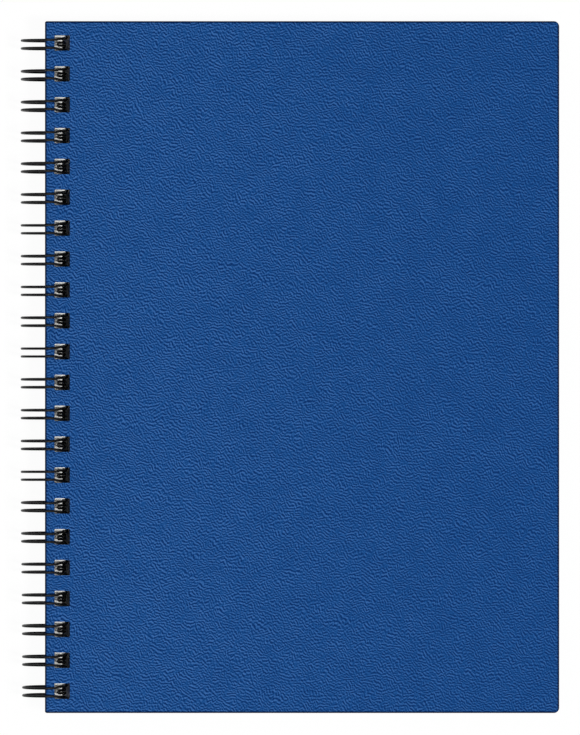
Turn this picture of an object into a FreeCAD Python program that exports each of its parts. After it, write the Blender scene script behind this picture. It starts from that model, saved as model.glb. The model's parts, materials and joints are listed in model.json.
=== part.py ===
"""Spiral planner: punched leaves between two turned-edge hard covers, on a twin-loop wire.

Millimetres.  +X runs from the wire to the fore-edge, +Y from tail to head and +Z up, out of
the front cover.  The origin is under the middle of the planner, level with the lowest point
of the wire.  Both covers turn about the wire's centre line, which runs along Y.
"""
import FreeCAD
import Part

import math
import os

from FreeCAD import Vector

# Leaves
page_w = 206.375            # 8 1/8 in, spine edge to fore-edge
page_h = 279.4              # 11 in, head to tail
block_t = 7.6               # all leaves together, away from the wire
page_setback = 2.15         # leaves' spine edge behind the covers' spine edge

# Covers: greyboard wrapped in leatherette, which is turned in and held by an endpaper
board_t = 2.0
wrap_t = 0.3
lining_t = 0.15
end_overhang = 2.65         # cover past the leaves at head and tail
fore_overhang = 3.075       # cover past the leaves at the fore-edge
fore_corner_r = 2.2         # outline corners at the fore-edge
spine_corner_r = 0.8        # outline corners beside the wire
wrap_edge_r = 0.6           # round of the leatherette over the board's edge
board_edge_r = 0.3          # round of the board's own edge
turn_in = 15.0              # leatherette folded onto the inside
lining_margin = 2.4         # turn-in left showing around the endpaper
lining_corner_r = 1.5
spine_gap = 0.75            # wire's centre line to the covers' spine edge
leaf_gap = 0.05             # air between a closed cover and the leaves

# Punching, two holes to the inch
pitch = 12.7
row_margin = 6.0            # at least this much leaf beyond the middle of the end holes
cover_hole_margin = 3.9     # covers' spine edge to the holes
page_hole_shift = 2.55      # leaves' holes further from the wire's centre line than the covers'
hole_corner_r = 0.4
strand_play = 1.045         # strand to hole wall, along the row
seam_play = 1.275           # strand to the hole's far wall, where it leaves the front cover

# Twin-loop wire
wire_d = 1.0
strand_spacing = 3.26       # between the two strands of a loop, centre to centre
ring_play = 0.45            # wire to the corner of the strip between hole and spine edge
wire_shift = -0.35          # wire and leaves against the covers' holes, along the row
seam_angle = 46.0           # where the open ends leave the ring, above the fore-edge side
seam_bend_r = 1.75          # bend from an open end into the link to the next loop
link_cover_gap = 0.2        # link wire to the front cover over it
link_page_gap = 0.1         # link wire to the leaves under it
end_stub = 1.0              # cut end of the wire past the last bend
tip_start_angle = -55.0     # where the closed end of a loop starts to draw inwards
tip_sweep = 100.0           # how far round the closed end runs on from there
tip_slot = 0.4              # air between the two strands at the closed end
nest_gap = 0.2              # closed end to the open ends that it nests between

# Leaves pressed down under the link wire
relief_margin = 0.35        # pressed flat this far past the link
relief_run = 20.0           # from there, the slope back to the full thickness

# Levels and places that follow, measured from the wire's centre line
cover_t = wrap_t + board_t + wrap_t + lining_t
cover_w = page_setback + page_w + fore_overhang
cover_h = page_h + 2.0 * end_overhang
cover_in_z = block_t / 2.0 + leaf_gap
cover_out_z = cover_in_z + cover_t
hole_x0 = spine_gap + cover_hole_margin
wire_r = wire_d / 2.0
ring_r = math.hypot(hole_x0, cover_out_z) + ring_play + wire_r
ring_outer_r = ring_r + wire_r
half_spacing = strand_spacing / 2.0
hole_count = 1 + int((page_h - 2.0 * row_margin) / pitch)

# Frame of the whole planner
axis_x = ring_outer_r - (ring_outer_r + spine_gap + cover_w) / 2.0
axis_z = ring_outer_r
AXIS = Vector(axis_x, 0, axis_z)
ALONG = Vector(0, 1, 0)
UP = Vector(0, 0, 1)


def polar(angle, radius):
    """A point in the wire's own plane, at an angle in degrees from +X towards +Z."""
    turn = math.radians(angle)
    return Vector(radius * math.cos(turn), 0, radius * math.sin(turn))


# Seam: the open ends run straight off the ring at seam_angle, down to the link wire
seam_dir = polar(seam_angle - 90.0, 1.0)
seam_start = polar(seam_angle, ring_r)
link_z = cover_in_z - link_cover_gap - wire_r
seam_run = (seam_start.z - link_z) / -seam_dir.z
link_at = seam_start + seam_dir * seam_run
strand_half_width = wire_r / -seam_dir.z
leave_x = link_at.x + seam_dir.x * (cover_in_z - link_z) / seam_dir.z + strand_half_width
hole_w = leave_x + seam_play - hole_x0
hole_h = strand_spacing + wire_d + 2.0 * strand_play
relief_z = link_z - wire_r - link_page_gap


def line(start, end):
    return Part.LineSegment(start, end).toShape()


def arc(start, middle, end):
    return Part.Arc(start, middle, end).toShape()


def rounded_outline(x0, x1, y0, y1, spine_r, fore_r):
    """Closed outline of a rectangle, with one corner radius on each side."""
    edges = []
    corners = [
        (Vector(x0, y0, 0), Vector(0, 1, 0), Vector(1, 0, 0), spine_r),
        (Vector(x1, y0, 0), Vector(-1, 0, 0), Vector(0, 1, 0), fore_r),
        (Vector(x1, y1, 0), Vector(0, -1, 0), Vector(-1, 0, 0), fore_r),
        (Vector(x0, y1, 0), Vector(1, 0, 0), Vector(0, -1, 0), spine_r),
    ]
    arcs = []
    for corner, back, ahead, radius in corners:
        middle = corner + (back + ahead) * radius * (1.0 - math.sqrt(0.5))
        arcs.append((corner + back * radius, middle, corner + ahead * radius))
    for index, (start, middle, end) in enumerate(arcs):
        edges.append(arc(start, middle, end))
        edges.append(line(end, arcs[(index + 1) % len(arcs)][0]))
    return Part.Wire(edges)


def slab(x0, x1, y0, y1, spine_r, fore_r, z0, z1):
    """Plate of a rounded outline between two levels above the wire's centre line."""
    face = Part.Face(rounded_outline(x0, x1, y0, y1, spine_r, fore_r))
    face.translate(AXIS + UP * z0)
    return face.extrude(UP * (z1 - z0))


def cover_slab(inset, spine_r, fore_r, outer, inner):
    """Plate of the back cover, between two depths counted inwards from its outer face."""
    return slab(
        spine_gap + inset, spine_gap + cover_w - inset,
        inset - cover_h / 2.0, cover_h / 2.0 - inset,
        spine_r, fore_r, outer - cover_out_z, inner - cover_out_z,
    )


def flat_edges(shape):
    """Edges that lie in a level plane: the rims of a plate's two faces."""
    return [edge for edge in shape.Edges if edge.BoundBox.ZLength < 1e-6]


def round_rims(plate, radius):
    return plate.makeFillet(radius, flat_edges(plate))


def punch(plate, shift_x, shift_y):
    """Punch the row of holes right through a plate."""
    prisms = []
    first_y = shift_y - pitch * (hole_count - 1) / 2.0
    for index in range(hole_count):
        middle_y = first_y + pitch * index
        prisms.append(slab(
            hole_x0 + shift_x, hole_x0 + shift_x + hole_w,
            middle_y - hole_h / 2.0, middle_y + hole_h / 2.0,
            hole_corner_r, hole_corner_r, -ring_r, ring_r,
        ))
    return plate.cut(Part.makeCompound(prisms))


def board():
    """Greyboard of the back cover."""
    plate = cover_slab(
        wrap_t, spine_corner_r - wrap_t, fore_corner_r - wrap_t, wrap_t, wrap_t + board_t,
    )
    return punch(round_rims(plate, board_edge_r), 0.0, 0.0)


def wrap():
    """Leatherette of the back cover: outer face, turned edges and turn-ins in one sheet."""
    shell = cover_slab(0.0, spine_corner_r, fore_corner_r, 0.0, cover_t - lining_t)
    shell = round_rims(shell, wrap_edge_r)
    inside = cover_slab(
        wrap_t, spine_corner_r - wrap_t, fore_corner_r - wrap_t, wrap_t, wrap_t + board_t,
    )
    window = cover_slab(turn_in, wrap_t, wrap_t, wrap_t + board_t, cover_t - lining_t)
    shell = shell.cut(round_rims(inside, board_edge_r)).cut(window)
    return punch(shell, 0.0, 0.0)


def lining():
    """Endpaper of the back cover: over the turn-ins, and down onto the board inside them."""
    band = cover_slab(
        lining_margin, lining_corner_r, lining_corner_r, cover_t - lining_t, cover_t,
    )
    middle = cover_slab(turn_in, wrap_t, wrap_t, wrap_t + board_t, cover_t)
    recess_inset = turn_in + lining_t
    recess = cover_slab(recess_inset, wrap_t, wrap_t, wrap_t + board_t + lining_t, cover_t)
    return punch(band.fuse(middle).cut(recess).removeSplitter(), 0.0, 0.0)


def over_to_front(piece):
    """The front cover is the back cover's mirror image about the wire's centre line."""
    return piece.mirror(AXIS, UP)


def page_block():
    """All the leaves, pressed down near the spine where the link wire lies on them."""
    x0 = spine_gap + page_setback
    x1 = x0 + page_w
    low = -block_t / 2.0
    high = block_t / 2.0
    ramp_x0 = link_at.x + wire_r + relief_margin
    ramp_x1 = ramp_x0 + relief_run
    ramp_mid = Vector((ramp_x0 + ramp_x1) / 2.0, 0, (relief_z + high) / 2.0)
    rise = (high - relief_z) / 2.0
    ramp_r = ((relief_run / 2.0) ** 2 + rise ** 2) / (2.0 * rise)
    half_turn = math.asin(relief_run / 2.0 / ramp_r) / 2.0
    bulge = Vector(ramp_r * math.sin(half_turn), 0, ramp_r * (1.0 - math.cos(half_turn)))
    foot = Vector(ramp_x0, 0, relief_z)
    top = Vector(ramp_x1, 0, high)
    edges = [
        line(Vector(x0, 0, low), Vector(x1, 0, low)),
        line(Vector(x1, 0, low), Vector(x1, 0, high)),
        line(Vector(x1, 0, high), top),
        arc(top, top - bulge, ramp_mid),
        arc(ramp_mid, foot + bulge, foot),
        line(foot, Vector(x0, 0, relief_z)),
        line(Vector(x0, 0, relief_z), Vector(x0, 0, low)),
    ]
    face = Part.Face(Part.Wire(edges))
    face.translate(AXIS + ALONG * (wire_shift - page_h / 2.0))
    return punch(face.extrude(ALONG * page_h), page_hole_shift, wire_shift)


def strand():
    """One strand of a loop, from the link wire round the ring to the closed end."""
    side = ALONG * half_spacing
    bend_at = link_at - seam_dir * seam_bend_r + side + ALONG * seam_bend_r
    diagonal = (seam_dir - ALONG) * math.sqrt(0.5)
    bend_out = bend_at + seam_dir * seam_bend_r
    bend_in = bend_at - ALONG * seam_bend_r
    ring_end = polar(tip_start_angle, ring_r)
    ring_middle = polar((seam_angle + 360.0 + tip_start_angle) / 2.0, ring_r)

    tip_half = (wire_d + tip_slot) / 2.0
    pull_in = half_spacing - tip_half
    nest_depth = math.sqrt((wire_d + nest_gap) ** 2 - pull_in ** 2)
    versine = 1.0 - math.cos(math.radians(tip_sweep))
    tip_r = ring_r - nest_depth / versine
    lean = math.asin(pull_in / (tip_r * versine))
    ahead = polar(tip_start_angle + 90.0, 1.0)
    inward = polar(tip_start_angle, -1.0) * math.cos(lean) - ALONG * math.sin(lean)

    def tip_point(angle):
        turn = math.radians(angle)
        return ring_end + side + (ahead * math.sin(turn) + inward * (1.0 - math.cos(turn))) * tip_r

    end_turn = math.radians(tip_sweep)
    end_dir = ahead * math.cos(end_turn) + inward * math.sin(end_turn)
    end_at = tip_point(tip_sweep)
    flat_dir = Vector(end_dir.x, 0, end_dir.z)
    close_r = end_at.y / flat_dir.Length
    centre = Vector(end_at.x, 0, end_at.z) + flat_dir * (close_r * end_dir.y / flat_dir.Length)
    crown = centre + flat_dir.normalize() * close_r
    return bend_out, [
        arc(bend_out, bend_at + diagonal * seam_bend_r, bend_in),
        line(bend_in, seam_start + side),
        arc(seam_start + side, ring_middle + side, ring_end + side),
        arc(ring_end + side, tip_point(tip_sweep / 2.0), end_at),
    ], end_at, crown


def loop(middle_y):
    """Edges of one double loop, and the points where it takes and hands on the link wire."""
    head_point, edges, end_at, crown = strand()
    mirrored = [edge.mirror(Vector(0, 0, 0), ALONG) for edge in edges]
    far_end = Vector(end_at.x, -end_at.y, end_at.z)
    whole = edges + [arc(end_at, crown, far_end)] + mirrored
    place = AXIS + ALONG * middle_y
    for edge in whole:
        edge.translate(place)
    tail_point = Vector(head_point.x, -head_point.y, head_point.z)
    return whole, place + tail_point, place + head_point


def binding_wire():
    """The whole twin-loop wire: one round wire along one path."""
    first_y = wire_shift - pitch * (hole_count - 1) / 2.0
    loops = [loop(first_y + pitch * index) for index in range(hole_count)]
    cut_tail = loops[0][1] - ALONG * end_stub
    cut_head = loops[-1][2] + ALONG * end_stub
    path = [line(cut_tail, loops[0][1]), line(loops[-1][2], cut_head)]
    for edges, _, _ in loops:
        path += edges
    for (_, _, head_point), (_, tail_point, _) in zip(loops, loops[1:]):
        path.append(line(head_point, tail_point))
    route = Part.Wire(Part.__sortEdges__(path))
    section = Part.Face(Part.Wire(Part.makeCircle(wire_r, cut_tail, ALONG)))
    return route.makePipe(section)


def main():
    pieces = {
        "back_cover_board": board(),
        "back_cover_wrap": wrap(),
        "back_cover_lining": lining(),
        "page_block": page_block(),
        "binding_wire": binding_wire(),
    }
    for layer in ("board", "wrap", "lining"):
        pieces["front_cover_" + layer] = over_to_front(pieces["back_cover_" + layer])
    os.makedirs("parts", exist_ok=True)
    for name, shape in pieces.items():
        shape.exportStep("parts/" + name + ".step")


main()
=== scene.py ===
"""Spiral planner: two leatherette hard covers, punched leaves and a twin-loop wire.

Metres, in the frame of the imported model: +X runs from the wire to the fore-edge, +Y from tail
to head and +Z up, out of the front cover.  Each operator makes one piece or one group of like
pieces, and the sidebar panel lists them with the sizes and colours that can be changed.
"""
import json
import math
import random

import bmesh
import bpy
from bpy.props import FloatProperty, FloatVectorProperty, IntProperty, PointerProperty
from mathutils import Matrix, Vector

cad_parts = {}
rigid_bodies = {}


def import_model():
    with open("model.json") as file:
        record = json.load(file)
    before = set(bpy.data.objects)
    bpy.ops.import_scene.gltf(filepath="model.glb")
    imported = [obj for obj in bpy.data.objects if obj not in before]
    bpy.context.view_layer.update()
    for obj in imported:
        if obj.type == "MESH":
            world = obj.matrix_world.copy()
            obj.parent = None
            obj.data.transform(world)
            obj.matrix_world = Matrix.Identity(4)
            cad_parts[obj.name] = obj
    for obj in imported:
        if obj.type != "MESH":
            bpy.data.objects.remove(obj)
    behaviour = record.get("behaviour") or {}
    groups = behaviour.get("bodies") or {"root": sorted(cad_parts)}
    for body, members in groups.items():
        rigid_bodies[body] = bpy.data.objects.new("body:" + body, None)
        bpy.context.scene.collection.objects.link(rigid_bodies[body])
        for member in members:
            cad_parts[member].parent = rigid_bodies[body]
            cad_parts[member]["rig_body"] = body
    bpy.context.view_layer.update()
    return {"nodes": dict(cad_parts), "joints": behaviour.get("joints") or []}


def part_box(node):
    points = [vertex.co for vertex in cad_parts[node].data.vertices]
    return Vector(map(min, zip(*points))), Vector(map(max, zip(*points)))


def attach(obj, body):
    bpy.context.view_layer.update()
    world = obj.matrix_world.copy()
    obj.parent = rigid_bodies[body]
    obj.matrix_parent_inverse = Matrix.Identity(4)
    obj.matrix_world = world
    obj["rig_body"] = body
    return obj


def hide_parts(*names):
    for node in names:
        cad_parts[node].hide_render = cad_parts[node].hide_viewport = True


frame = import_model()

bl_info = {
    "name": "Spiral planner",
    "version": (1, 0, 0),
    "blender": (4, 5, 0),
    "location": "3D View > Sidebar > Planner",
    "description": "Builds a wire-bound planner with leatherette covers around its solids",
    "category": "Object",
}

AXIS = Vector(frame["joints"][0]["pos_m"])
ALONG = Vector((0, 1, 0))
COVER_LOW, COVER_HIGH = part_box("back_cover_wrap")
SHELL = COVER_HIGH.z - COVER_LOW.z
LEAVES_LOW, LEAVES_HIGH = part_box("page_block")
WIRE_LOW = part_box("binding_wire")[0]
FRONT_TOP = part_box("front_cover_wrap")[1].z
ROW_SHIFT = (LEAVES_LOW.y + LEAVES_HIGH.y) / 2
# Each cover, the level of its outer face, and the sense from there inwards in Z.
OUTER_FACES = (
    ("front_cover", FRONT_TOP, -1),
    ("back_cover", COVER_LOW.z, 1),
)


def length(name, description, default):
    """A size in metres."""
    return FloatProperty(
        name=name, description=description, default=default, precision=5,
        subtype="DISTANCE", unit="LENGTH",
    )


def angle(name, description, degrees):
    """An angle, given here in degrees."""
    return FloatProperty(
        name=name, description=description, default=math.radians(degrees),
        subtype="ANGLE", unit="ROTATION",
    )


def share(name, description, default, highest=1.0):
    """A plain number that starts at nought."""
    return FloatProperty(
        name=name, description=description, default=default, min=0.0, max=highest,
        subtype="FACTOR",
    )


def colour(name, description, default):
    """A linear colour."""
    return FloatVectorProperty(
        name=name, description=description, default=default, min=0.0, max=1.0,
        subtype="COLOR", size=3,
    )


class PlannerPunching(bpy.types.PropertyGroup):
    """The row of holes."""

    count: IntProperty(name="Holes", description="Holes in the row", default=22, min=1)
    pitch: length("Pitch", "From one hole to the next", 0.0127)
    width: length("Width", "Hole across the row", 0.00635)
    height: length("Height", "Hole along the row", 0.00635)
    corner: length("Corner", "Radius of a hole's corners", 0.0004)
    margin: length("Margin", "Covers' spine edge to the holes", 0.0039)
    leaf_shift: length("Leaf shift", "Leaves' holes further from the spine", 0.00293)


class PlannerCovers(bpy.types.PropertyGroup):
    """Leatherette round both covers, and the boards and endpapers in them."""

    sheet: length("Leatherette", "Thickness of the leatherette", 0.0003)
    edge_round: length("Edge round", "Round of the leatherette over the board's edge", 0.0006)
    board_round: length("Board round", "Round of the board's own edge", 0.0003)
    spine_corner: length("Spine corner", "Outline corners beside the wire", 0.0008)
    fore_corner: length("Fore corner", "Outline corners at the fore-edge", 0.0022)
    turn_in: length("Turn-in", "Leatherette folded onto the inside", 0.015)
    rim_round: length("Rim round", "Punched edge pressed down round a hole", 0.00014)
    mitre_start: length("Mitre start", "Corner fold's outer end, from both edges", 0.00125)
    mitre_end: length("Mitre end", "Corner fold's inner end, from both edges", 0.0033)
    mitre_depth: length("Mitre depth", "Depth of the corner fold", 0.00012)
    # Grain colours: the tops are lighter with a painted highlight, the bottoms darker with
    # painted shade and some darker dye, and the slopes have the leatherette's own blue.
    peak_painted_highlight: colour("Peak colour", "Tops of the grain", (0.0365, 0.129, 0.366))
    blue: colour("Leatherette colour", "Slopes of the grain", (0.0046, 0.0605, 0.226))
    crease_dye_and_painted_shade: colour("Crease colour", "Bottoms of the grain", (0.0002, 0.0205, 0.112))
    # Painted shade: colour of the dark band round the cover's rounded edges.
    fold: colour("Fold colour", "Round the edges", (0.0003, 0.004, 0.03))
    grain_step: length("Grain step", "From one wrinkle of the grain to the next", 0.00125)
    grain_reach: share("Grain reach", "Length of a wrinkle against the step", 0.68, 4.0)
    grain_order: share("Grain order", "How closely the wrinkles run one way", 0.6)
    grain_turn: angle("Grain turn", "Wrinkles against the planner's width", -22.0)
    grain_depth: length("Grain depth", "Height of the wrinkles", 0.00008)
    # Painted shade: the colour darkens from the spine to the fore-edge, standing in for light
    # that falls off across the cover.
    painted_fore_edge_shade: share("Painted_shade", "Darkening from the spine to the fore-edge", 0.22)
    # Painted shade: how dark the band round the rounded edges is painted.
    painted_edge_shade: share("Edge shade", "Darkening where the leatherette folds over", 0.95)
    board: colour("Board colour", "Greyboard at the holes' walls", (0.19, 0.17, 0.14))
    endpaper: colour("Endpaper colour", "Paper inside the covers", (0.74, 0.72, 0.66))


class PlannerLeaves(bpy.types.PropertyGroup):
    """The loose leaves."""

    count: IntProperty(name="Leaves", description="Leaves in the planner", default=70, min=2)
    sheet: length("Paper", "Thickness of one leaf", 0.000085)
    pressed: length("Pressed", "Top leaf pressed down at the wire", 0.00125)
    flat_past: length("Flat past holes", "Pressed strip past the holes", 0.0005)
    ramp: length("Ramp", "Slope from the pressed strip to full thickness", 0.0165)
    stray: length("Stray", "How far a leaf strays from the pile", 0.00008)
    seed: IntProperty(name="Seed", description="Draw of the stray leaves", default=4)
    paper: colour("Paper colour", "The leaves", (0.93, 0.93, 0.91))


class PlannerWire(bpy.types.PropertyGroup):
    """The twin-loop wire."""

    thickness: length("Wire", "Thickness of the wire", 0.001)
    spacing: length("Strands", "Between the two strands of a loop", 0.00326)
    seam_angle: angle("Seam angle", "Where the open ends leave the ring", 46.0)
    seam_bend: length("Seam bend", "Bend from an open end into the link", 0.0012)
    link_height: length("Link height", "Link wire above the ring's middle", 0.00315)
    end_stub: length("End stub", "Cut end past the last bend", 0.001)
    tip_angle: angle("Tip angle", "Where a closed end starts to draw in", -55.0)
    tip_sweep: angle("Tip sweep", "How far round the closed end runs on", 98.0)
    tip_drawn: share("Tip drawn in", "Part of the sweep in which the closed end narrows", 0.7)
    tip_slot: length("Tip slot", "Air between the strands at the closed end", 0.0002)
    nest_gap: length("Nest gap", "Closed end to the open ends beside it", 0.0002)
    lean: length("Lean", "How far a loop leans along the row", 0.00015)
    splay: length("Splay", "How far the open ends bow apart", 0.00054)
    splay_turn: angle("Splay turn", "Part of the ring that bows apart too", 22.0)
    tuck: length("Tuck", "How much narrower the loops are at the tail", 0.0006)
    tuck_share: share("Tuck share", "Part of the row where the loops are narrower", 0.36)
    seed: IntProperty(name="Seed", description="Draw of the leaning loops", default=3)
    coat: colour("Coat colour", "Nylon coat of the wire", (0.0022, 0.0022, 0.0026))


class PlannerStage(bpy.types.PropertyGroup):
    """Floor, backdrop, lamps and camera."""

    reach: length("Reach", "Half the floor", 9.0)
    whiten: share("Whiten", "Share of plain white in floor and backdrop", 0.96)
    sky: share("Sky", "Light from all round", 0.25, 2.0)
    key: share("Key", "Light from the fore-edge side", 0.71, 2.0)
    fill: share("Fill", "Light from the head", 0.07, 2.0)
    distance: length("Camera distance", "Camera above the front cover", 2.85)
    framed: length("Framed height", "Height of the view at the front cover", 0.3024)
    aside: length("Camera aside", "Camera left of the covers' middle", 0.00497)
    below: length("Camera below", "Camera tailwards of the covers' middle", 0.00017)


class PlannerSettings(bpy.types.PropertyGroup):
    """Everything that can be changed."""

    punching: PointerProperty(type=PlannerPunching)
    covers: PointerProperty(type=PlannerCovers)
    leaves: PointerProperty(type=PlannerLeaves)
    wire: PointerProperty(type=PlannerWire)
    stage: PointerProperty(type=PlannerStage)


class Socket:
    """An output of a shader node.  Arithmetic on it adds Math nodes."""

    def __init__(self, finish, output):
        self.finish = finish
        self.output = output

    def maths(self, operation, *values):
        """Add a Math node that works on values or other outputs."""
        settings = {"operation": operation}
        return self.finish.node("ShaderNodeMath", settings, dict(enumerate(values)))

    def __add__(self, other):
        return self.maths("ADD", self, other)

    __radd__ = __add__

    def __sub__(self, other):
        return self.maths("SUBTRACT", self, other)

    def __rsub__(self, other):
        return self.maths("SUBTRACT", other, self)

    def __mul__(self, other):
        return self.maths("MULTIPLY", self, other)

    __rmul__ = __mul__

    def __lt__(self, other):
        return self.maths("LESS_THAN", self, other)

    def __gt__(self, other):
        return self.maths("GREATER_THAN", self, other)

    def __abs__(self):
        return self.maths("ABSOLUTE", self)


class Finish:
    """A material, or the world, being put together from nodes."""

    def __init__(self, owner):
        owner.use_nodes = True
        self.owner = owner
        self.tree = owner.node_tree

    def node(self, kind, settings=None, inputs=None, output=0):
        """Add a node: its settings first, then the values or links of its inputs."""
        made = self.tree.nodes.new(kind)
        for name, value in (settings or {}).items():
            if name == "stops":
                self.set_stops(made.color_ramp, value)
            else:
                setattr(made, name, value)
        for name, value in (inputs or {}).items():
            self.feed(made.inputs[name], value)
        return Socket(self, made.outputs[output])

    def set_stops(self, ramp, stops):
        """Give a colour ramp its places and colours."""
        while len(ramp.elements) < len(stops):
            ramp.elements.new(1.0)
        for element, (place, value) in zip(ramp.elements, stops):
            element.position = place
            element.color = (*value, 1.0)

    def feed(self, socket, value):
        """Link an output to an input, or set the input's own value."""
        if isinstance(value, Socket):
            self.tree.links.new(value.output, socket)
        elif socket.type == "RGBA":
            socket.default_value = (*value, 1.0)
        else:
            socket.default_value = value

    def place(self):
        """Where a point lies on the object, in metres."""
        return self.node("ShaderNodeTexCoord", output="Object")

    def mix(self, factor, first, second):
        """A colour between two."""
        settings = {"data_type": "RGBA"}
        factor_in, first_colour, second_colour, colour_out = 0, 6, 7, 2
        inputs = {factor_in: factor, first_colour: first, second_colour: second}
        return self.node("ShaderNodeMix", settings, inputs, colour_out)

    def move(self, operation, first, second):
        """Vector arithmetic."""
        settings = {"operation": operation}
        return self.node("ShaderNodeVectorMath", settings, {0: first, 1: second})

    def cloud(self, place, per_metre, detail=2.0, roughness=0.5, output=0):
        """Soft noise, with so many lumps to the metre."""
        inputs = {"Vector": place, "Scale": per_metre, "Detail": detail, "Roughness": roughness}
        return self.node("ShaderNodeTexNoise", None, inputs, output)

    def stretch(self, value, low, high, new_low=0.0, new_high=1.0):
        """A value eased from one range to another."""
        settings = {"interpolation_type": "SMOOTHSTEP"}
        inputs = {
            "Value": value, "From Min": low, "From Max": high,
            "To Min": new_low, "To Max": new_high,
        }
        return self.node("ShaderNodeMapRange", settings, inputs)

    def bump(self, height, distance, strength=1.0):
        """Relief of so many metres from a height between 0 and 1."""
        inputs = {"Height": height, "Distance": distance, "Strength": strength}
        return self.node("ShaderNodeBump", None, inputs)

    def surface(self, **inputs):
        """Set the shader's own sockets, by their names with spaces as underscores."""
        shader = self.tree.nodes["Principled BSDF"]
        for name, value in inputs.items():
            self.feed(shader.inputs[name.replace("_", " ")], value)
        return self.owner


def cover_inset(finish, place):
    """How far a point lies inside the covers' outline, seen from above."""
    across = finish.node("ShaderNodeSeparateXYZ", None, {0: place}, "X")
    up = Socket(finish, across.output.node.outputs["Y"])
    middle = (COVER_LOW.x + COVER_HIGH.x) / 2
    in_x = (COVER_HIGH.x - middle) - abs(across - middle)
    in_y = COVER_HIGH.y - abs(up)
    return in_x.maths("MINIMUM", in_x, in_y)


def leatherette_finish(covers):
    """Finely wrinkled leatherette: short close wrinkles that mostly run one way. Its colour
    carries painted light: a painted highlight on the wrinkles' tops, painted shade in their
    creases, painted shade round the rounded edges and painted shade towards the fore-edge.
    """
    edge_slant = 0.7
    drift_lumps, drift_reach = 120.0, (0.004, 0.003, 0.0)
    frequency = 1.7
    valley, ridge = 0.32, 0.68
    pore_lumps, pore_share = 4200.0, 0.3
    wear_lumps, least_wear, most_wear = 110.0, 0.85, 1.04
    fold_start, fold_end = 0.00045, 0.00095
    flat_share, steep, level = 0.3, 0.1, 0.4

    finish = Finish(bpy.data.materials.new("leatherette"))
    place = finish.place()
    height = finish.node("ShaderNodeSeparateXYZ", None, {0: place}, "Z")
    spread = finish.node("ShaderNodeCombineXYZ", None, {0: height, 1: height * edge_slant})
    along_wrinkles = finish.node("ShaderNodeMapping", {"vector_type": "TEXTURE"}, {
        "Vector": finish.move("ADD", place, spread),
        "Rotation": (0.0, 0.0, covers.grain_turn),
        "Scale": (covers.grain_reach, 1.0, 1.0),
    })
    drift = finish.cloud(place, drift_lumps, 2.0, output="Color")
    drift = finish.move("SUBTRACT", drift, (0.5, 0.5, 0.5))
    drift = finish.move("MULTIPLY", drift, drift_reach)
    wrinkles = finish.node("ShaderNodeTexGabor", None, {
        "Vector": finish.move("ADD", along_wrinkles, drift),
        "Scale": 1.0 / (covers.grain_step * frequency),
        "Frequency": frequency,
        "Anisotropy": covers.grain_order,
        "Orientation": math.pi / 2,
    }, "Value")
    pores = finish.cloud(place, pore_lumps, 2.0, 0.6)
    relief = finish.stretch(wrinkles, valley, ridge) + (pores - 0.5) * pore_share
    across = finish.node("ShaderNodeSeparateXYZ", None, {0: place}, "X")
    # Painted shade: darker from the spine towards the fore-edge.
    painted_fore_edge_shade = finish.stretch(across, COVER_LOW.x, COVER_HIGH.x, 1.0, 1.0 - covers.painted_fore_edge_shade)
    patches = finish.cloud(place, wear_lumps, 5.0, 0.8)
    # Random lighter and darker patches of wear, times the painted shade towards the fore-edge.
    wear_and_painted_shade = finish.stretch(patches, 0.3, 0.7, least_wear, most_wear) * painted_fore_edge_shade
    # Colour by the grain's height: painted shade and some darker dye in the creases, a painted
    # highlight on the tops.
    ramp = {"stops": (
        (0.0, tuple(covers.crease_dye_and_painted_shade)), (0.5, tuple(covers.blue)), (1.0, tuple(covers.peak_painted_highlight)),
    )}
    grain_colour_and_painted_light = finish.node("ShaderNodeValToRGB", ramp, {0: relief * wear_and_painted_shade + 0.05})
    facing = finish.node("ShaderNodeTexCoord", output="Normal")
    upright = abs(finish.node("ShaderNodeSeparateXYZ", None, {0: facing}, "Z"))
    # Painted shade round the rounded edges, strongest where the surface turns steep, within a
    # millimetre of the outline.
    shade = covers.painted_edge_shade
    painted_edge_by_facing = finish.stretch(upright, steep, level, shade * flat_share, shade)
    in_from_edge = cover_inset(finish, place)
    painted_edge_mask = painted_edge_by_facing * finish.stretch(in_from_edge, fold_start, fold_end, 1.0, 0.0)
    return finish.surface(
        Base_Color=finish.mix(painted_edge_mask, grain_colour_and_painted_light, tuple(covers.fold)),
        Roughness=0.7 - relief * 0.14 + painted_edge_mask * 0.3,
        Specular_IOR_Level=0.06,
        Normal=finish.bump(relief, covers.grain_depth),
    )


def board_finish(covers):
    """Greyboard: pulped waste paper, with light and dark fibres pressed flat."""
    finish = Finish(bpy.data.materials.new("greyboard"))
    flattened, fibre_lumps, dark_share, tooth = (1.0, 1.0, 4.0), 2400.0, 0.55, 0.00004
    layers = finish.move("MULTIPLY", finish.place(), flattened)
    fibres = finish.stretch(finish.cloud(layers, fibre_lumps, 3.0, 0.7), 0.35, 0.65)
    grey = tuple(covers.board)
    dark = tuple(part * dark_share for part in grey)
    return finish.surface(
        Base_Color=finish.mix(fibres, dark, grey),
        Roughness=0.95,
        Specular_IOR_Level=0.1,
        Normal=finish.bump(fibres, tooth),
    )


def paper_finish(name, paper, tooth):
    """Uncoated paper: a faint cloudiness in the sheet, and a fine tooth."""
    finish = Finish(bpy.data.materials.new(name))
    cloud_lumps, grit_lumps, dull_share = 420.0, 5500.0, 0.95
    clouds = finish.stretch(finish.cloud(finish.place(), cloud_lumps, 3.0, 0.6), 0.3, 0.7)
    grit = finish.cloud(finish.place(), grit_lumps, 2.0, 0.6)
    light = tuple(paper)
    dull = tuple(part * dull_share for part in light)
    return finish.surface(
        Base_Color=finish.mix(clouds, dull, light),
        Roughness=0.88 + clouds * 0.06,
        Specular_IOR_Level=0.2,
        Normal=finish.bump(grit, tooth, 0.5),
    )


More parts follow.
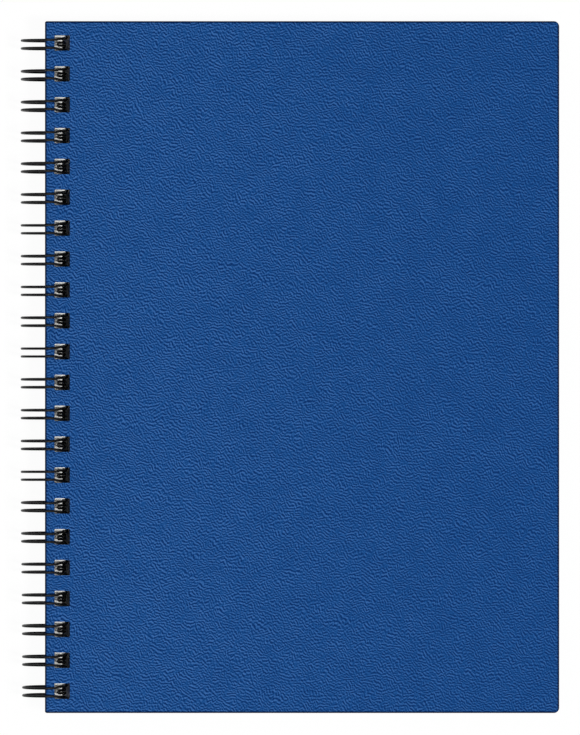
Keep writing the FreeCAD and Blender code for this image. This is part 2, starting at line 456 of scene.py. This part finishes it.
def wire_finish(wire):
    """Steel wire in a black nylon coat: smooth, with a faint orange peel and fine scuffs."""
    finish = Finish(bpy.data.materials.new("nylon_coat"))
    peel_lumps, peel_height, scuff_lumps = 1900.0, 0.00002, 700.0
    peel = finish.cloud(finish.place(), peel_lumps, 1.0)
    scuffs = finish.stretch(finish.cloud(finish.place(), scuff_lumps, 4.0, 0.7), 0.55, 0.75)
    black = tuple(wire.coat)
    rubbed = tuple(part * 2.0 + 0.002 for part in black)
    return finish.surface(
        Base_Color=finish.mix(scuffs, black, rubbed),
        Roughness=0.36 + scuffs * 0.2,
        Specular_IOR_Level=0.15,
        Normal=finish.bump(peel, peel_height, 0.6),
    )


def white_finish(name, whiten, keep_out=None):
    """Stage white.  Part of it is plain white to the eye and in reflections, and the rest
    takes the shadow; keep_out(finish) is 1 where all of it takes the shadow."""
    finish = Finish(bpy.data.materials.new(name))
    ray = finish.node("ShaderNodeLightPath", output="Is Camera Ray")
    paths = ray.output.node.outputs
    seen = ray + Socket(finish, paths["Is Glossy Ray"])
    seen = seen + Socket(finish, paths["Is Transmission Ray"])
    amount = (seen > 0.5) * whiten
    if keep_out is not None:
        amount = amount * (1.0 - keep_out(finish))
    glow = finish.node("ShaderNodeEmission", None, {"Color": (1.0, 1.0, 1.0), "Strength": 1.0})
    off_white = (0.97, 0.97, 0.97)
    matt = finish.node("ShaderNodeBsdfDiffuse", None, {"Color": off_white})
    both = finish.node("ShaderNodeMixShader", None, {0: amount, 1: matt, 2: glow})
    finish.feed(finish.tree.nodes["Material Output"].inputs["Surface"], both)
    return finish.owner


def cover_footprint(finish):
    """1 on the floor right under the covers, where only the holes let anyone see it."""
    return cover_inset(finish, finish.place()) > 0.0


def new_piece(name, mesh, finish, smooth_under=None):
    """An object from a bmesh, with outward faces and one material."""
    bmesh.ops.recalc_face_normals(mesh, faces=mesh.faces)
    data = bpy.data.meshes.new(name)
    mesh.to_mesh(data)
    mesh.free()
    data.materials.append(finish)
    if smooth_under is not None:
        data.shade_smooth()
        data.set_sharp_from_angle(angle=math.radians(smooth_under))
    piece = bpy.data.objects.new(name, data)
    bpy.context.scene.collection.objects.link(piece)
    return piece


def stand_for(piece, node):
    """Let a piece take the place of a solid: same body, and the solid hidden."""
    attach(piece, frame["nodes"][node]["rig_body"])
    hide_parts(node)


def redress(node, finish):
    """Give a solid that stays as it is a better finish."""
    solid = frame["nodes"][node]
    solid.data.materials.clear()
    solid.data.materials.append(finish)


def rounded_outline(low_x, low_y, high_x, high_y, spine_r, fore_r, steps):
    """Points round a rectangle, anticlockwise from its low corner, with rounded corners."""
    corners = [
        (low_x + spine_r, low_y + spine_r, spine_r),
        (high_x - fore_r, low_y + fore_r, fore_r),
        (high_x - fore_r, high_y - fore_r, fore_r),
        (low_x + spine_r, high_y - spine_r, spine_r),
    ]
    points = []
    for corner, (x, y, radius) in enumerate(corners):
        for step in range(steps + 1):
            turn = math.pi + math.pi / 2 * (corner + step / steps)
            points.append((x + radius * math.cos(turn), y + radius * math.sin(turn)))
    return points


def ring(mesh, outline, level):
    """Corners of a mesh along an outline, at one level."""
    return [mesh.verts.new((x, y, level)) for x, y in outline]


def band(mesh, first, second):
    """Faces between two rings of as many points."""
    for index, corner in enumerate(first):
        after = (index + 1) % len(first)
        mesh.faces.new((corner, first[after], second[after], second[index]))


def bands(mesh, rings):
    """Faces from each ring to the next."""
    for first, second in zip(rings, rings[1:]):
        band(mesh, first, second)


def corners_of(outline):
    """Where the middles of the four corners are in a rounded outline, from the low corner."""
    quarter = len(outline) // 4
    return [quarter * corner + quarter // 2 for corner in range(4)]


def span(loop, start, end):
    """The part of a loop from one place to another, with both of them."""
    stop = end if end >= start else end + len(loop)
    return [loop[index % len(loop)] for index in range(start, stop + 1)]


def between(outer, outer_corners, inner, inner_corners):
    """The four loops between two loops, cut from corner to corner."""
    loops = []
    for corner in range(4):
        after = (corner + 1) % 4
        loops.append(
            span(outer, outer_corners[corner], outer_corners[after])
            + span(inner, inner_corners[corner], inner_corners[after])[::-1]
        )
    return loops


def hole_outline(punching, left, middle_y, grow, steps):
    """Outline of one hole, grown outwards all round."""
    corner = punching.corner + grow
    return rounded_outline(
        left - grow, middle_y - punching.height / 2 - grow,
        left + punching.width + grow, middle_y + punching.height / 2 + grow,
        corner, corner, steps,
    )


def row_places(punching, shift=0.0):
    """Middle of each hole along the row."""
    first = shift - punching.pitch * (punching.count - 1) / 2
    return [first + punching.pitch * index for index in range(punching.count)]


def punched_strip(mesh, holes, low_x, high_x, lines_y, level):
    """A strip with a row of holes in it, one between each two lines.
    Returns the strip's outline and where its four corners are in that."""
    left = [mesh.verts.new((low_x, y, level)) for y in lines_y]
    right = [mesh.verts.new((high_x, y, level)) for y in lines_y]
    for index, hole in enumerate(holes):
        cell = [left[index], right[index], right[index + 1], left[index + 1]]
        for loop in between(cell, range(4), hole, corners_of(hole)):
            mesh.faces.new(loop)
    outline = [left[0], *right, *left[:0:-1]]
    return outline, [0, 1, len(right), len(right) + 1]


def strip_lines(punching, low_y, high_y, shift):
    """Lines across a punched strip: its two ends, and midway between the holes."""
    middles = [y + punching.pitch / 2 for y in row_places(punching, shift)[:-1]]
    return [low_y, *middles, high_y]


def fold_groove(mesh, outer_corner, way_x, way_y, covers, inward):
    """Groove where two turn-ins meet, from near a corner of the cover towards its middle."""
    half_width = 0.00006
    near, far = covers.mitre_start, covers.mitre_end
    middle = (near + far) / 2
    rim = [
        mesh.verts.new(outer_corner + Vector((way_x * x, way_y * y, 0)))
        for x, y in (
            (near, near), (middle - half_width, middle + half_width),
            (far, far), (middle + half_width, middle - half_width),
        )
    ]
    depth = Vector((way_x * middle, way_y * middle, -inward * covers.mitre_depth))
    floor = mesh.verts.new(outer_corner + depth)
    for index, corner in enumerate(rim):
        mesh.faces.new((corner, rim[(index + 1) % len(rim)], floor))
    return rim


class CoverLayers:
    """Rings and faces for the layers of one cover, which follow its outline and its holes.
    Depth is counted inwards from the outer face, and inward is the sense of that in Z."""

    corner_steps = 8
    hole_steps = 4
    arc_steps = 6

    def __init__(self, covers, punching, outer_level, inward):
        self.mesh = bmesh.new()
        self.covers = covers
        self.punching = punching
        self.outer_level = outer_level
        self.inward = inward
        self.hole_x = COVER_LOW.x + punching.margin
        self.beside = punching.margin / 3
        row = punching.pitch * (punching.count - 1) + punching.height
        self.strip_end = row / 2 + self.beside

    def level(self, depth):
        """Z at a depth below the outer face."""
        return self.outer_level + self.inward * depth

    def at(self, inset, depth):
        """The cover's outline, drawn in by an inset, at a depth."""
        least_corner = self.covers.sheet
        outline = rounded_outline(
            COVER_LOW.x + inset, COVER_LOW.y + inset, COVER_HIGH.x - inset, COVER_HIGH.y - inset,
            max(self.covers.spine_corner - inset, least_corner),
            max(self.covers.fore_corner - inset, least_corner), self.corner_steps,
        )
        return ring(self.mesh, outline, self.level(depth))

    def hole_at(self, middle_y, grow, depth):
        """One hole's outline, grown outwards all round, at a depth."""
        outline = hole_outline(self.punching, self.hole_x, middle_y, grow, self.hole_steps)
        return ring(self.mesh, outline, self.level(depth))

    def over_edge(self, inset, top, bottom, radius):
        """Rings from one face, round an edge, to the other face."""
        rings = []
        for start, depth in ((0.0, top + radius), (math.pi / 2, bottom - radius)):
            for step in range(self.arc_steps + 1):
                turn = start + math.pi / 2 * step / self.arc_steps
                in_from_edge = inset + radius * (1.0 - math.sin(turn))
                rings.append(self.at(in_from_edge, depth - radius * math.cos(turn)))
        bands(self.mesh, rings)
        return rings

    def strip_at(self, holes, depth):
        """The strip of a face that holds the row of holes."""
        lines = strip_lines(self.punching, -self.strip_end, self.strip_end, 0.0)
        low_x = self.hole_x - self.beside
        high_x = self.hole_x + self.punching.width + self.beside
        return punched_strip(self.mesh, holes, low_x, high_x, lines, self.level(depth))

    def knee_at(self, way_y, depth):
        """Where the cut between two turn-ins bends, to go round the end of the strip."""
        x = self.hole_x + self.punching.width + 2 * self.beside
        y = way_y * (self.strip_end + self.beside / 2)
        return self.mesh.verts.new((x, y, self.level(depth)))

    def whole_face(self, rim, holes, depth):
        """A face that covers the board, but for the holes."""
        strip, corners = self.strip_at(holes, depth)
        for loop in between(rim, corners_of(rim), strip, corners):
            self.mesh.faces.new(loop)


def leatherette_mesh(covers, punching, outer_level, inward):
    """One sheet: outer face, rounded edges and turn-ins, punched, with folded corners."""
    layers = CoverLayers(covers, punching, outer_level, inward)
    mesh = layers.mesh
    rim_steps = 4
    fold = SHELL - covers.sheet

    def turned_face(rim, window, holes, depth, grooves):
        """A face of the turn-ins, which leaves a window in the middle of the board."""
        sides = between(rim, corners_of(rim), window, corners_of(window))
        knees = {0: layers.knee_at(-1, depth), 3: layers.knee_at(1, depth)}
        quarter = corners_of(rim)[1] - corners_of(rim)[0]
        for side, loop in enumerate(sides):
            after = (side + 1) % 4
            inwards, outwards = [], []
            if grooves:
                ahead, behind = grooves[after], grooves[side]
                inwards = [ahead[0], ahead[side_of(ahead, loop)], ahead[2]]
                outwards = [behind[2], behind[side_of(behind, loop)], behind[0]]
            if after in knees:
                inwards.append(knees[after])
            if side in knees:
                outwards.insert(0, knees[side])
            loop[quarter + 1:quarter + 1] = inwards
            loop += outwards
            if side != 3:
                mesh.faces.new(loop)
        punched = sides[3]
        strip, (low_left, low_right, high_right, high_left) = layers.strip_at(holes, depth)
        places = [0, quarter, punched.index(knees[0]), punched.index(knees[3])]
        corners = (high_left, low_left, low_right, high_right)
        for loop in between(punched, places, strip, corners):
            mesh.faces.new(loop)

    def side_of(groove, loop):
        """Which flank of a groove lies on a loop's side."""
        middle = sum((corner.co for corner in loop), Vector()) / len(loop)
        return min((1, 3), key=lambda flank: (groove[flank].co - middle).length)

    outer_rings = layers.over_edge(0.0, 0.0, SHELL, covers.edge_round)
    inner_rings = layers.over_edge(covers.sheet, covers.sheet, fold, covers.board_round)
    window = [layers.at(covers.turn_in, SHELL), layers.at(covers.turn_in, fold)]
    bands(mesh, window)
    rim = covers.rim_round
    sheet_holes, turned_holes = [], []
    for middle_y in row_places(punching):
        turns = [math.pi / 2 * step / rim_steps for step in range(rim_steps + 1)]
        rounded = [
            layers.hole_at(middle_y, rim * (1.0 - math.sin(turn)), rim * (1.0 - math.cos(turn)))
            for turn in turns
        ]
        sheet_holes.append([*rounded, layers.hole_at(middle_y, 0.0, covers.sheet)])
        turned_holes.append([layers.hole_at(middle_y, 0.0, depth) for depth in (fold, SHELL)])
    for walls in sheet_holes + turned_holes:
        bands(mesh, walls)
    grooves = [
        fold_groove(
            mesh, Vector((x, y, outer_level + inward * SHELL)), way_x, way_y, covers, inward,
        )
        for x, y, way_x, way_y in (
            (COVER_LOW.x, COVER_LOW.y, 1, 1), (COVER_HIGH.x, COVER_LOW.y, -1, 1),
            (COVER_HIGH.x, COVER_HIGH.y, -1, -1), (COVER_LOW.x, COVER_HIGH.y, 1, -1),
        )
    ]
    layers.whole_face(outer_rings[0], [walls[0] for walls in sheet_holes], 0.0)
    layers.whole_face(inner_rings[0], [walls[-1] for walls in sheet_holes], covers.sheet)
    turned_face(inner_rings[-1], window[1], [walls[0] for walls in turned_holes], fold, None)
    turned_face(outer_rings[-1], window[0], [walls[1] for walls in turned_holes], SHELL, grooves)
    return mesh


def board_mesh(covers, punching, outer_level, inward):
    """The punched greyboard, which fills the folded sheet."""
    layers = CoverLayers(covers, punching, outer_level, inward)
    faces = (covers.sheet, SHELL - covers.sheet)
    rings = layers.over_edge(covers.sheet, *faces, covers.board_round)
    holes = [
        [layers.hole_at(middle_y, 0.0, depth) for depth in faces]
        for middle_y in row_places(punching)
    ]
    for walls in holes:
        bands(layers.mesh, walls)
    layers.whole_face(rings[0], [walls[0] for walls in holes], faces[0])
    layers.whole_face(rings[-1], [walls[1] for walls in holes], faces[1])
    return layers.mesh


def new_layer(name, mesh, finish):
    """One layer of a cover, smooth round its edges and level on its faces."""
    piece = new_piece(name, mesh, finish, smooth_under=40.0)
    piece.modifiers.new("flat_faces_stay_flat", "WEIGHTED_NORMAL").keep_sharp = True
    return piece


class PLANNER_OT_leatherette(bpy.types.Operator):
    """Make the leatherette of both covers"""

    bl_idname = "planner.leatherette"
    bl_label = "Leatherette"

    def execute(self, context):
        planner = context.scene.planner
        finish = leatherette_finish(planner.covers)
        for cover, outer_level, inward in OUTER_FACES:
            mesh = leatherette_mesh(planner.covers, planner.punching, outer_level, inward)
            piece = new_layer(cover + "_leatherette", mesh, finish)
            stand_for(piece, cover + "_wrap")
        return {"FINISHED"}


class PLANNER_OT_boards(bpy.types.Operator):
    """Make the greyboards of both covers, and finish their endpapers"""

    bl_idname = "planner.boards"
    bl_label = "Boards and endpapers"

    def execute(self, context):
        planner = context.scene.planner
        greyboard = board_finish(planner.covers)
        endpaper = paper_finish("endpaper", planner.covers.endpaper, tooth=0.00003)
        for cover, outer_level, inward in OUTER_FACES:
            mesh = board_mesh(planner.covers, planner.punching, outer_level, inward)
            piece = new_layer(cover + "_greyboard", mesh, greyboard)
            stand_for(piece, cover + "_board")
            redress(cover + "_lining", endpaper)
        return {"FINISHED"}


def add_leaf(mesh, leaves, punching, bottom, lift, stray_x, stray_y):
    """One punched leaf.  It lies at bottom by the wire, and lift higher past the ramp."""
    low_x, high_x = LEAVES_LOW.x + stray_x, LEAVES_HIGH.x + stray_x
    low_y, high_y = LEAVES_LOW.y + stray_y, LEAVES_HIGH.y + stray_y
    hole_x = COVER_LOW.x + punching.margin + punching.leaf_shift + stray_x
    shift = ROW_SHIFT + stray_y
    flat_end = hole_x + punching.width + leaves.flat_past
    hole_steps, ramp_steps = 2, 7
    stations = [
        (flat_end + leaves.ramp * step / ramp_steps, ease(step / ramp_steps))
        for step in range(1, ramp_steps + 1)
    ]
    outlines, punched = [], []
    for level in (bottom, bottom + leaves.sheet):
        holes = [
            ring(mesh, hole_outline(punching, hole_x, middle_y, 0.0, hole_steps), level)
            for middle_y in row_places(punching, shift)
        ]
        lines = strip_lines(punching, low_y, high_y, shift)
        strip, (_, low, high, _) = punched_strip(mesh, holes, low_x, flat_end, lines, level)
        low_side, high_side = [], []
        line = strip[low:high + 1]
        for x, eased in [*stations, (high_x, 1.0)]:
            ahead = [mesh.verts.new((x, y, level + lift * eased)) for y in (low_y, high_y)]
            mesh.faces.new((*line[::-1], *ahead))
            low_side.append(ahead[0])
            high_side.append(ahead[1])
            line = ahead
        outlines.append(strip[:low + 1] + low_side + high_side[::-1] + strip[high:])
        punched.append(holes)
    band(mesh, *outlines)
    for under_hole, over_hole in zip(*punched):
        band(mesh, under_hole, over_hole)


def ease(part):
    """Slope that starts and ends level, as two equal arcs would."""
    return 2.0 * part * part if part < 0.5 else 1.0 - 2.0 * (1.0 - part) ** 2


class PLANNER_OT_leaves(bpy.types.Operator):
    """Make the loose leaves, pressed down beside the wire"""

    bl_idname = "planner.leaves"
    bl_label = "Leaves"

    def execute(self, context):
        planner = context.scene.planner
        leaves = planner.leaves
        draw = random.Random(leaves.seed)
        full = (LEAVES_HIGH.z - LEAVES_LOW.z) / leaves.count
        pressed = (LEAVES_HIGH.z - LEAVES_LOW.z - leaves.pressed) / leaves.count
        mesh = bmesh.new()
        for index in range(leaves.count):
            stray_x, stray_y = (
                leaves.stray * max(-1.0, min(1.0, draw.gauss(0.0, 0.5))) for _ in range(2)
            )
            bottom = LEAVES_LOW.z + pressed * (index + 0.5) - leaves.sheet / 2
            lift = (full - pressed) * (index + 0.5)
            add_leaf(mesh, leaves, planner.punching, bottom, lift, stray_x, stray_y)
        finish = paper_finish("leaf_paper", leaves.paper, tooth=0.00002)
        stand_for(new_piece("leaves", mesh, finish), "page_block")
        return {"FINISHED"}


def polar(turn, radius):
    """A point in the wire's own plane, at a turn from +X towards +Z."""
    return Vector((radius * math.cos(turn), 0, radius * math.sin(turn)))


def strand_route(wire, tuck):
    """Points of one strand about the ring's middle, from the link wire to the closed end.
    A tucked loop is narrower by tuck, and keeps its place on the side of the seam."""
    half = wire.thickness / 2
    ring_r = AXIS.z - WIRE_LOW.z - half - tuck / 2
    middle = Vector((tuck / 2, 0, 0))
    side = ALONG * (wire.spacing / 2)
    bend = wire.seam_bend
    seam = wire.seam_angle
    seam_dir = polar(seam - math.pi / 2, 1.0)
    seam_start = middle + polar(seam, ring_r)
    run = (seam_start.z - wire.link_height) / -seam_dir.z
    spread = ALONG * wire.splay
    bend_at = seam_start + seam_dir * (run - bend) + side + spread + ALONG * bend
    route = []
    bend_steps, open_steps, ring_steps, tip_steps, crown_steps = 8, 6, 50, 16, 5
    straight_share = 0.6
    for step in range(bend_steps + 1):
        turn = math.pi / 2 * step / bend_steps
        route.append(bend_at + (seam_dir * math.cos(turn) - ALONG * math.sin(turn)) * bend)
    straight = (run - bend) * straight_share
    reach = straight + ring_r * wire.splay_turn
    for step in range(open_steps):
        left = straight * (1.0 - step / open_steps)
        bowed = spread * ease((left + ring_r * wire.splay_turn) / reach)
        route.append(seam_start + seam_dir * left + side + bowed)
    tip_start = wire.tip_angle + 2 * math.pi
    for step in range(ring_steps + 1):
        turn = seam + (tip_start - seam) * step / ring_steps
        to_go = max(0.0, wire.splay_turn - (turn - seam)) * ring_r
        route.append(middle + side + spread * ease(to_go / reach) + polar(turn, ring_r))

    tip_half = (wire.thickness + wire.tip_slot) / 2
    pull_in = wire.spacing / 2 - tip_half
    nest_depth = math.sqrt((wire.thickness + wire.nest_gap) ** 2 - pull_in ** 2)
    tip_r = ring_r - nest_depth / (1.0 - math.cos(wire.tip_sweep))
    ahead = polar(wire.tip_angle + math.pi / 2, 1.0)
    inward = polar(wire.tip_angle, -1.0)
    ring_end = route[-1]
    for step in range(1, tip_steps + 1):
        turn = wire.tip_sweep * step / tip_steps
        swing = ahead * math.sin(turn) + inward * (1.0 - math.cos(turn))
        drawn = ease(min(step / tip_steps / wire.tip_drawn, 1.0))
        route.append(ring_end + swing * tip_r - ALONG * (pull_in * drawn))
    onward = ahead * math.cos(wire.tip_sweep) + inward * math.sin(wire.tip_sweep)
    centre = route[-1] - ALONG * tip_half
    for step in range(1, crown_steps + 1):
        turn = math.pi / 2 * step / crown_steps
        route.append(centre + (ALONG * math.cos(turn) + onward * math.sin(turn)) * tip_half)
    return route


def wire_route(wire, punching):
    """Points along the whole wire, from its cut end at the tail to the one at the head."""
    draw = random.Random(wire.seed)
    ring_r = AXIS.z - WIRE_LOW.z
    places = row_places(punching, ROW_SHIFT)
    route = []
    for index, middle_y in enumerate(places):
        along_row = index / (punching.count - 1)
        tuck = wire.tuck * (1.0 - ease(min(along_row / wire.tuck_share, 1.0)))
        lean = wire.lean * draw.uniform(-1.0, 1.0)
        strand = strand_route(wire, tuck)
        mirrored = [Vector((point.x, -point.y, point.z)) for point in strand]
        for point in mirrored + strand[-2::-1]:
            leaning = point.y + lean * point.z / ring_r
            route.append(AXIS + Vector((point.x, middle_y + leaning, point.z)))
    route.insert(0, route[0] - ALONG * wire.end_stub)
    route.append(route[-1] + ALONG * wire.end_stub)
    return route


def tube_mesh(route, radius, sides):
    """A round tube along a route, closed at both ends, that never twists."""
    mesh = bmesh.new()
    tangents = []
    for index in range(len(route)):
        before, after = route[max(index - 1, 0)], route[min(index + 1, len(route) - 1)]
        tangents.append((after - before).normalized())
    across = tangents[0].orthogonal().normalized()
    rings = []
    for index, (point, tangent) in enumerate(zip(route, tangents)):
        if index:
            across.rotate(tangents[index - 1].rotation_difference(tangent))
        across = (across - tangent * across.dot(tangent)).normalized()
        beside = tangent.cross(across)
        rings.append([
            mesh.verts.new(point + (across * math.cos(turn) + beside * math.sin(turn)) * radius)
            for turn in (2 * math.pi * side / sides for side in range(sides))
        ])
    bands(mesh, rings)
    mesh.faces.new(rings[0])
    mesh.faces.new(rings[-1])
    return mesh


class PLANNER_OT_wire(bpy.types.Operator):
    """Make the twin-loop wire, with loops that lean a little"""

    bl_idname = "planner.wire"
    bl_label = "Wire"

    def execute(self, context):
        planner = context.scene.planner
        wire = planner.wire
        route = wire_route(wire, planner.punching)
        mesh = tube_mesh(route, wire.thickness / 2, sides=12)
        piece = new_piece("twin_loop_wire", mesh, wire_finish(wire), smooth_under=50.0)
        stand_for(piece, "binding_wire")
        return {"FINISHED"}


def add_floor(stage):
    """The table top that the rings rest on."""
    mesh = bmesh.new()
    reach = stage.reach
    corners = ((-reach, -reach), (reach, -reach), (reach, reach), (-reach, reach))
    mesh.faces.new(ring(mesh, corners, WIRE_LOW.z))
    new_piece("floor", mesh, white_finish("floor", stage.whiten, cover_footprint))


def add_backdrop(stage):
    """A round wall at the floor's edge, open above."""
    mesh = bmesh.new()
    sides = 64
    within_floor = 0.98
    radius = stage.reach * within_floor
    outline = [
        (radius * math.cos(turn), radius * math.sin(turn))
        for turn in (2 * math.pi * side / sides for side in range(sides))
    ]
    band(mesh, ring(mesh, outline, 0.0), ring(mesh, outline, stage.reach))
    white = white_finish("backdrop", stage.whiten)
    new_piece("backdrop", mesh, white, smooth_under=60.0)


def add_lamp(name, place, size, brightness):
    """A square soft lamp aimed at the planner.  On white paper lying flat it gives the
    brightness by itself."""
    target = Vector((0, 0, COVER_HIGH.z))
    aim = target - Vector(place)
    facing = -aim.normalized().z
    lamp = bpy.data.lights.new(name, "AREA")
    lamp.shape = "SQUARE"
    lamp.size = size
    lamp.energy = brightness * math.pi ** 2 * aim.length_squared / facing
    holder = bpy.data.objects.new(name, lamp)
    holder.location = place
    holder.rotation_euler = aim.to_track_quat("-Z", "Y").to_euler()
    bpy.context.scene.collection.objects.link(holder)


def add_camera(stage):
    """Straight above the planner, a little left of the covers' middle."""
    lens = bpy.data.cameras.new("camera")
    lens.sensor_width = 36.0
    lens.lens = lens.sensor_width * stage.distance / stage.framed
    lens.clip_end = 100.0
    camera = bpy.data.objects.new("camera", lens)
    middle = (COVER_LOW.x + COVER_HIGH.x) / 2
    camera.location = (middle - stage.aside, -stage.below, FRONT_TOP + stage.distance)
    bpy.context.scene.collection.objects.link(camera)
    bpy.context.scene.camera = camera


class PLANNER_OT_stage(bpy.types.Operator):
    """Set up the floor, backdrop, lamps, world and camera"""

    bl_idname = "planner.stage"
    bl_label = "Stage"

    def execute(self, context):
        stage = context.scene.planner.stage
        add_floor(stage)
        add_backdrop(stage)
        add_lamp("key_lamp", place=(2.04, -0.64, 4.3), size=0.9, brightness=stage.key)
        add_lamp("fill_lamp", place=(-1.2, 1.8, 1.6), size=1.2, brightness=stage.fill)
        add_camera(stage)
        world = bpy.data.worlds.new("studio")
        context.scene.world = world
        sky = Finish(world)
        background = sky.tree.nodes["Background"]
        background.inputs["Color"].default_value = (1.0, 1.0, 1.0, 1.0)
        background.inputs["Strength"].default_value = stage.sky
        context.scene.view_settings.view_transform = "Standard"
        return {"FINISHED"}


class PLANNER_PT_sidebar(bpy.types.Panel):
    """Sizes, colours and makers of the planner's pieces"""

    bl_label = "Spiral planner"
    bl_space_type = "VIEW_3D"
    bl_region_type = "UI"
    bl_category = "Planner"

    def draw(self, context):
        planner = context.scene.planner
        for label, group, operators in (
            ("Punching", planner.punching, ()),
            ("Covers", planner.covers, ("planner.leatherette", "planner.boards")),
            ("Leaves", planner.leaves, ("planner.leaves",)),
            ("Wire", planner.wire, ("planner.wire",)),
            ("Stage", planner.stage, ("planner.stage",)),
        ):
            box = self.layout.box()
            box.label(text=label)
            for name in group.__annotations__:
                box.prop(group, name)
            for operator in operators:
                box.operator(operator)


CLASSES = (
    PlannerPunching,
    PlannerCovers,
    PlannerLeaves,
    PlannerWire,
    PlannerStage,
    PlannerSettings,
    PLANNER_OT_leatherette,
    PLANNER_OT_boards,
    PLANNER_OT_leaves,
    PLANNER_OT_wire,
    PLANNER_OT_stage,
    PLANNER_PT_sidebar,
)


def register():
    for cls in CLASSES:
        bpy.utils.register_class(cls)
    bpy.types.Scene.planner = PointerProperty(type=PlannerSettings)


def unregister():
    del bpy.types.Scene.planner
    for cls in reversed(CLASSES):
        bpy.utils.unregister_class(cls)


def main():
    """Make every piece and the stage."""
    register()
    bpy.ops.planner.stage()
    bpy.ops.planner.leatherette()
    bpy.ops.planner.boards()
    bpy.ops.planner.leaves()
    bpy.ops.planner.wire()


if __name__ == "__main__":
    main()
